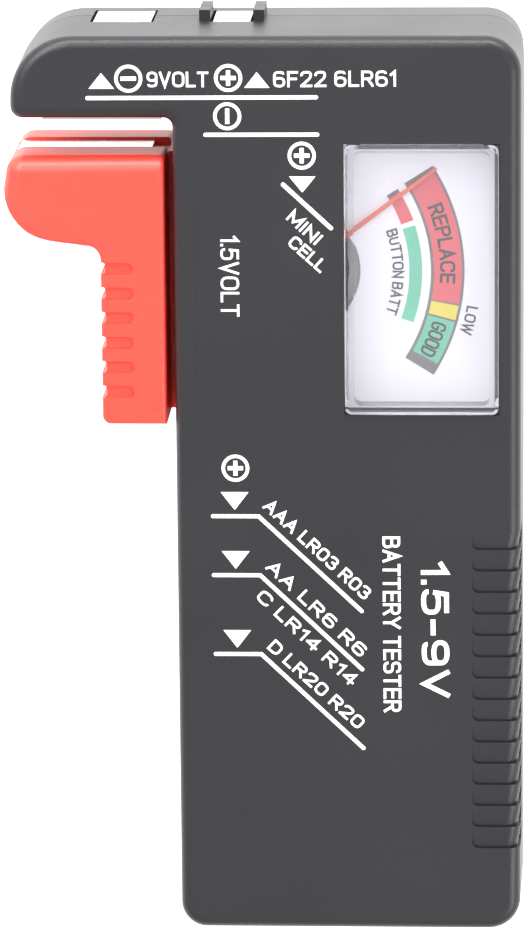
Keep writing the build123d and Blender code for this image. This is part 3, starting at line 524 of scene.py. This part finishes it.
# Contacts: bright nickel-plated strip, blanked and bent, and pushed through the casing's walls. The
# rolling marks run along the strip.
nickel = Finish("nickel_plate", Metallic=1.0)
rolling = nickel.node("ShaderNodeMapping", {}, Vector=nickel.place, Scale=(300.0, 9000.0, 9000.0))
streaks = nickel.node("ShaderNodeTexNoise", {}, Vector=rolling, Scale=1.0, Detail=3.0)
tarnish = nickel.noise(650.0, 3.0)
nickel.feed("Base Color", nickel.blend(tarnish, (0.86, 0.85, 0.83, 1.0), (0.66, 0.64, 0.61, 1.0)))
nickel.feed("Roughness", 0.12 + streaks * 0.16 + tarnish * 0.08)
nickel.relief(streaks, 0.004 * MM)
for node, body in (("slider_contact", "slider"), ("jaw_contact", "casing"),
                   ("nine_volt_negative_contact", "casing"), ("nine_volt_positive_contact", "casing")):
    dressed(node, nickel, "nickel_strip", body, bevel=0.08)

# Meter window: clear polystyrene with a polished top, moulded as an open box and held in the front
# shell, where it stands a little proud of the face.
clear = Finish("clear_styrene", Base_Color=(0.975, 0.97, 1.0, 1.0), Transmission_Weight=0.965, IOR=1.49)
haze = clear.noise(260.0, 3.0)
clear.feed("Roughness", 0.01 + haze * 0.05)
clear.relief(clear.noise(90.0, 1.0), 0.01 * MM)
dressed("meter_cover", clear, "clear_styrene", "casing")

# Dial: white-painted plate that lies in the meter tray. Its scales and words are screen printed in
# flat inks round a common centre.
# The dial paint glows faintly in lavender. This is painted light: it stands in for the light that the clear
# cover keeps from the dial.
dial_paint_with_painted_glow = Finish("dial_paint_with_painted_glow", Roughness=0.55, Emission_Color=(0.9, 0.88, 1.0, 1.0), Emission_Strength=0.2)
paint_grain = dial_paint_with_painted_glow.noise(4200.0, 2.0)
dial_paint_with_painted_glow.feed("Base Color", dial_paint_with_painted_glow.blend(paint_grain, (0.93, 0.93, 0.95, 1.0), (0.88, 0.88, 0.91, 1.0)))
dial_paint_with_painted_glow.relief(paint_grain, 0.004 * MM)
dressed("meter_dial", dial_paint_with_painted_glow, "dial_white", "casing")
dial_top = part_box("meter_dial")[1].z / MM
scale_centre = np.array([-9.4, 25.3])
scale_film = 0.015
word_lift = 0.025


def scale_zone(from_angle, to_angle, inner, outer, level):
    """Band of a scale: a ribbon along the arc midway between two radii, on a given layer of ink."""
    angle = np.radians(np.linspace(from_angle, to_angle, 40))
    line = scale_centre + (inner + outer) / 2 * np.column_stack([np.cos(angle), np.sin(angle)])
    return ribbon(line, (outer - inner) / 2, dial_top - ink_sink, dial_top + scale_film * level)


class Bent:
    """Puts letter points round the scale's centre: distance becomes angle, and height becomes radius."""

    def __init__(self, start, radius, height):
        self.start = radians(start)
        self.radius = radius
        self.low = radius - height / 2
        self.base = dial_top + word_lift

    def __call__(self, points):
        angle = self.start - points[:, 0] / self.radius
        reach = self.low + points[:, 1]
        return scale_centre + reach[:, None] * np.column_stack([np.cos(angle), np.sin(angle)])


def scale_words(words, from_angle, to_angle, radius, height, width):
    """Words bent round the scale's centre, between two angles."""
    bend = Bent(from_angle, radius, height)
    return lettering(words, radians(from_angle - to_angle) * radius, height, width, bend)


def ink(name, colour):
    """Flat printing ink for the dial, with a faint screen texture."""
    finish = Finish(name, Roughness=0.5)
    screen = finish.noise(6000.0, 2.0)
    dull = tuple(channel * 0.9 for channel in colour)
    finish.feed("Base Color", finish.blend(screen, (*colour, 1.0), (*dull, 1.0)))
    return finish


scale_grey = ink("scale_grey", (0.21, 0.195, 0.2))
scale_red = ink("scale_red", (0.94, 0.13, 0.16))
scale_yellow = ink("scale_yellow", (1.0, 0.84, 0.1))
scale_green = ink("scale_green", (0.17, 0.7, 0.46))
main_band = (19.35, 22.6)
button_band = (16.5, 18.0)
border = [scale_zone(32.9, -32.7, 19.0, 22.9, 1), scale_zone(32.6, 31.0, *button_band, 1)]
replace_zone = [scale_zone(31.6, -10.0, *main_band, 2), scale_zone(31.2, 19.5, *button_band, 2)]
good_zone = [scale_zone(-15.6, -29.3, *main_band, 2), scale_zone(17.5, -19.8, *button_band, 2)]
add_piece("scale_border", *join(border), scale_grey, "dial_white", "casing")
add_piece("scale_replace_zone", *join(replace_zone), scale_red, "dial_white", "casing")
add_piece("scale_low_zone", *scale_zone(-10.5, -15.0, *main_band, 2), scale_yellow, "dial_white", "casing")
add_piece("scale_good_zone", *join(good_zone), scale_green, "dial_white", "casing")
dial_words = [*scale_words("REPLACE", 22.0, -4.0, 20.95, 1.8, 0.3),
              *scale_words("GOOD", -17.0, -28.5, 20.95, 1.8, 0.27),
              *scale_words("LOW", -10.0, -18.0, 24.2, 1.35, 0.22),
              *scale_words("BUTTON BATT", 18.8, -19.6, 15.2, 1.3, 0.2)]
word_ink = ink("word_ink", (0.045, 0.04, 0.045))
add_piece("scale_words", *join(dial_words), word_ink, "dial_white", "casing")

# Needle and movement: a painted pointer on an aluminium former wound with copper, which turns on steel
# pivots between brass jewel screws, inside an iron yoke. The black moulded tray carries all of it.
needle_paint = Finish("needle_paint", Roughness=0.38)
needle_red = needle_paint.blend(needle_paint.noise(2500.0), (1.0, 0.2, 0.14, 1.0), (0.9, 0.15, 0.1, 1.0))
needle_paint.feed("Base Color", needle_red)
dressed("needle", needle_paint, "needle_red", "movement", bevel=0.05)


def bare_metal(name, colour, roughness, grain=1400.0, metallic=1.0):
    """Plain worked metal: fine directionless grain in gloss and relief, with slight dulling."""
    finish = Finish(name, Metallic=metallic)
    fine = finish.noise(grain, 3.0, 0.6)
    dulling = finish.noise(grain / 6, 2.0)
    dark = tuple(channel * 0.72 for channel in colour)
    finish.feed("Base Color", finish.blend(dulling, (*colour, 1.0), (*dark, 1.0)))
    finish.feed("Roughness", roughness + fine * 0.14)
    finish.relief(fine, 0.008 * MM)
    return finish


aluminium = bare_metal("blanked_aluminium", (0.80, 0.80, 0.81), 0.30)
dull_iron = bare_metal("soft_iron", (0.50, 0.50, 0.51), 0.42)
spring_wire = bare_metal("spring_wire", (0.58, 0.58, 0.60), 0.22)
brass = bare_metal("turned_brass", (0.78, 0.60, 0.30), 0.26)
tin = bare_metal("tinned_brass", (0.72, 0.71, 0.68), 0.34)
bronze = bare_metal("bronze_strip", (0.66, 0.48, 0.28), 0.28)
zinc = bare_metal("zinc_plate", (0.66, 0.66, 0.64), 0.30)
plate = bare_metal("magnet_plate", (0.68, 0.68, 0.68), 0.24)
copper = Finish("enamelled_copper", Metallic=0.85, Roughness=0.3)
turns = copper.node("ShaderNodeTexWave", {"wave_type": "BANDS", "bands_direction": "Z"},
                    Vector=copper.place, Scale=2400.0)
# The copper's colour is lighter on each turn and darker between turns. This is painted shade in the creases
# between the turns. The same bands also give the turns their relief.
copper.feed("Base Color", copper.blend(turns, (0.55, 0.20, 0.09, 1.0), (0.32, 0.10, 0.05, 1.0)))
copper.relief(turns, 0.05 * MM)
for node, finish, slot, body in (
        ("coil_former", aluminium, "bridge_aluminium", "movement"),
        ("coil_winding", copper, "copper_wire", "movement"),
        ("coil_pivots", spring_wire, "spring_steel", "movement"),
        ("needle_counterweight", tin, "tinned_brass", "movement"),
        ("movement_bridge", aluminium, "bridge_aluminium", "casing"),
        ("jewel_screws", brass, "brass", "casing"),
        ("front_hairspring", bronze, "bronze", "casing"), ("rear_hairspring", bronze, "bronze", "casing"),
        ("needle_stops", brass, "brass", "casing"), ("meter_yoke", dull_iron, "soft_iron", "casing"),
        ("meter_core_holder", brass, "brass", "casing"), ("meter_magnet", plate, "magnet_nickel", "casing"),
        ("meter_terminals", tin, "tinned_brass", "casing"), ("spring_anchor", tin, "tinned_brass", "casing"),
        ("casing_screws", zinc, "zinc_steel", "casing")):
    dressed(node, finish, slot, body)
tray_black = moulded("meter_black", (0.02, 0.02, 0.021), 0.45, 3000.0, 0.01)
dressed("meter_base", tray_black, "meter_black", "casing")

# Circuit: two dipped resistors and five PVC-covered leads, soldered between the contacts' tails and the
# meter's tags. Each lead keeps the route that it has in the CAD.
red_pvc = moulded("red_pvc", (0.62, 0.03, 0.02), 0.35, 1800.0, 0.01)
black_pvc = moulded("black_pvc", (0.02, 0.02, 0.02), 0.35, 1800.0, 0.01)
lacquer = moulded("resistor_lacquer", (0.55, 0.42, 0.28), 0.3, 900.0, 0.02)
for node, finish, slot in (("lead_spring", red_pvc, "red_pvc"),
                           ("lead_nine_volt_positive", red_pvc, "red_pvc"),
                           ("lead_meter_positive", red_pvc, "red_pvc"),
                           ("lead_common", black_pvc, "black_pvc"),
                           ("lead_nine_volt_negative", black_pvc, "black_pvc"),
                           ("load_resistor", lacquer, "resistor_lacquer"),
                           ("series_resistor", lacquer, "resistor_lacquer")):
    dressed(node, finish, slot, "casing")

# Return spring: drawn steel wire, wound as a long extension spring with a loop at each end. It hooks on the
# slider's carriage and on a post of the rear shell, and stretches between them.
spring_low, spring_high = (np.array(corner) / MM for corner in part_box("return_spring"))
spring_x, spring_z = (spring_low[0] + spring_high[0]) / 2, (spring_low[2] + spring_high[2]) / 2
wire_radius = 0.225
loop_radius = 1.1
coil_radius = (spring_high[0] - spring_low[0]) / 2 - wire_radius
spring_turns = 28
low_post = spring_low[1] + loop_radius + wire_radius
high_post = spring_high[1] - loop_radius - wire_radius
loop_lead = 3.0
loop_stub = 0.7


def wire(path, radius, sides=10):
    """Round wire along a path: at each station a circle lies across the path, with its first axis carried on
    from the station before and squared to the path; circles are joined round, and the ends closed."""
    path = np.asarray(path, float)
    ahead = np.gradient(path, axis=0)
    ahead /= np.linalg.norm(ahead, axis=1)[:, None]
    across = np.empty_like(path)
    across[0] = np.cross(ahead[0], (0.3, 0.2, 1.0))
    for index in range(1, len(path)):
        across[index] = across[index - 1] - (across[index - 1] @ ahead[index]) * ahead[index]
        across[index] /= np.linalg.norm(across[index])
    across[0] /= np.linalg.norm(across[0])
    other = np.cross(ahead, across)
    angle = np.linspace(0, 2 * pi, sides, endpoint=False)
    cosine, sine = np.cos(angle)[None, :, None], np.sin(angle)[None, :, None]
    circle = cosine * across[:, None] + sine * other[:, None]
    vertices = (path[:, None] + radius * circle).reshape(-1, 3)
    start = np.arange(len(path) - 1)[:, None] * sides
    side = np.arange(sides)
    after = (side + 1) % sides
    faces = np.stack([start + side, start + after, start + sides + after, start + sides + side], -1)
    faces = faces.reshape(-1, 4).tolist()
    faces += [side[::-1].tolist(), (side + (len(path) - 1) * sides).tolist()]
    return vertices, faces


def loop_path(post, way):
    """End loop: most of a circle round the post, in the plane of the carriage, open where the coil begins."""
    angle = radians(90 * way) - way * np.radians(np.linspace(335, 0, 36))
    flat = np.column_stack([np.cos(angle), np.sin(angle)]) * loop_radius
    return np.column_stack([spring_x + flat[:, 0], post + flat[:, 1], np.full(36, spring_z)])


coil_length = high_post - low_post - 2 * loop_lead
winding = np.linspace(0, 2 * pi * spring_turns, 24 * spring_turns + 1)
coil = np.column_stack([spring_x + coil_radius * np.cos(winding),
                        low_post + loop_lead + coil_length * winding / winding[-1],
                        spring_z - coil_radius * np.sin(winding)])
low_loop, high_loop = loop_path(low_post, 1), loop_path(high_post, -1)[::-1]
stub = np.array([0, loop_stub, 0])
spring_path = np.vstack([low_loop, low_loop[-1:] + stub, coil, high_loop[:1] - stub, high_loop])
wound = wire(spring_path, wire_radius)
return_spring = add_piece("return_spring_wire", *wound, spring_wire, "spring_steel", None)
soften(return_spring, 50)
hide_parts("return_spring")
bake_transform(return_spring)
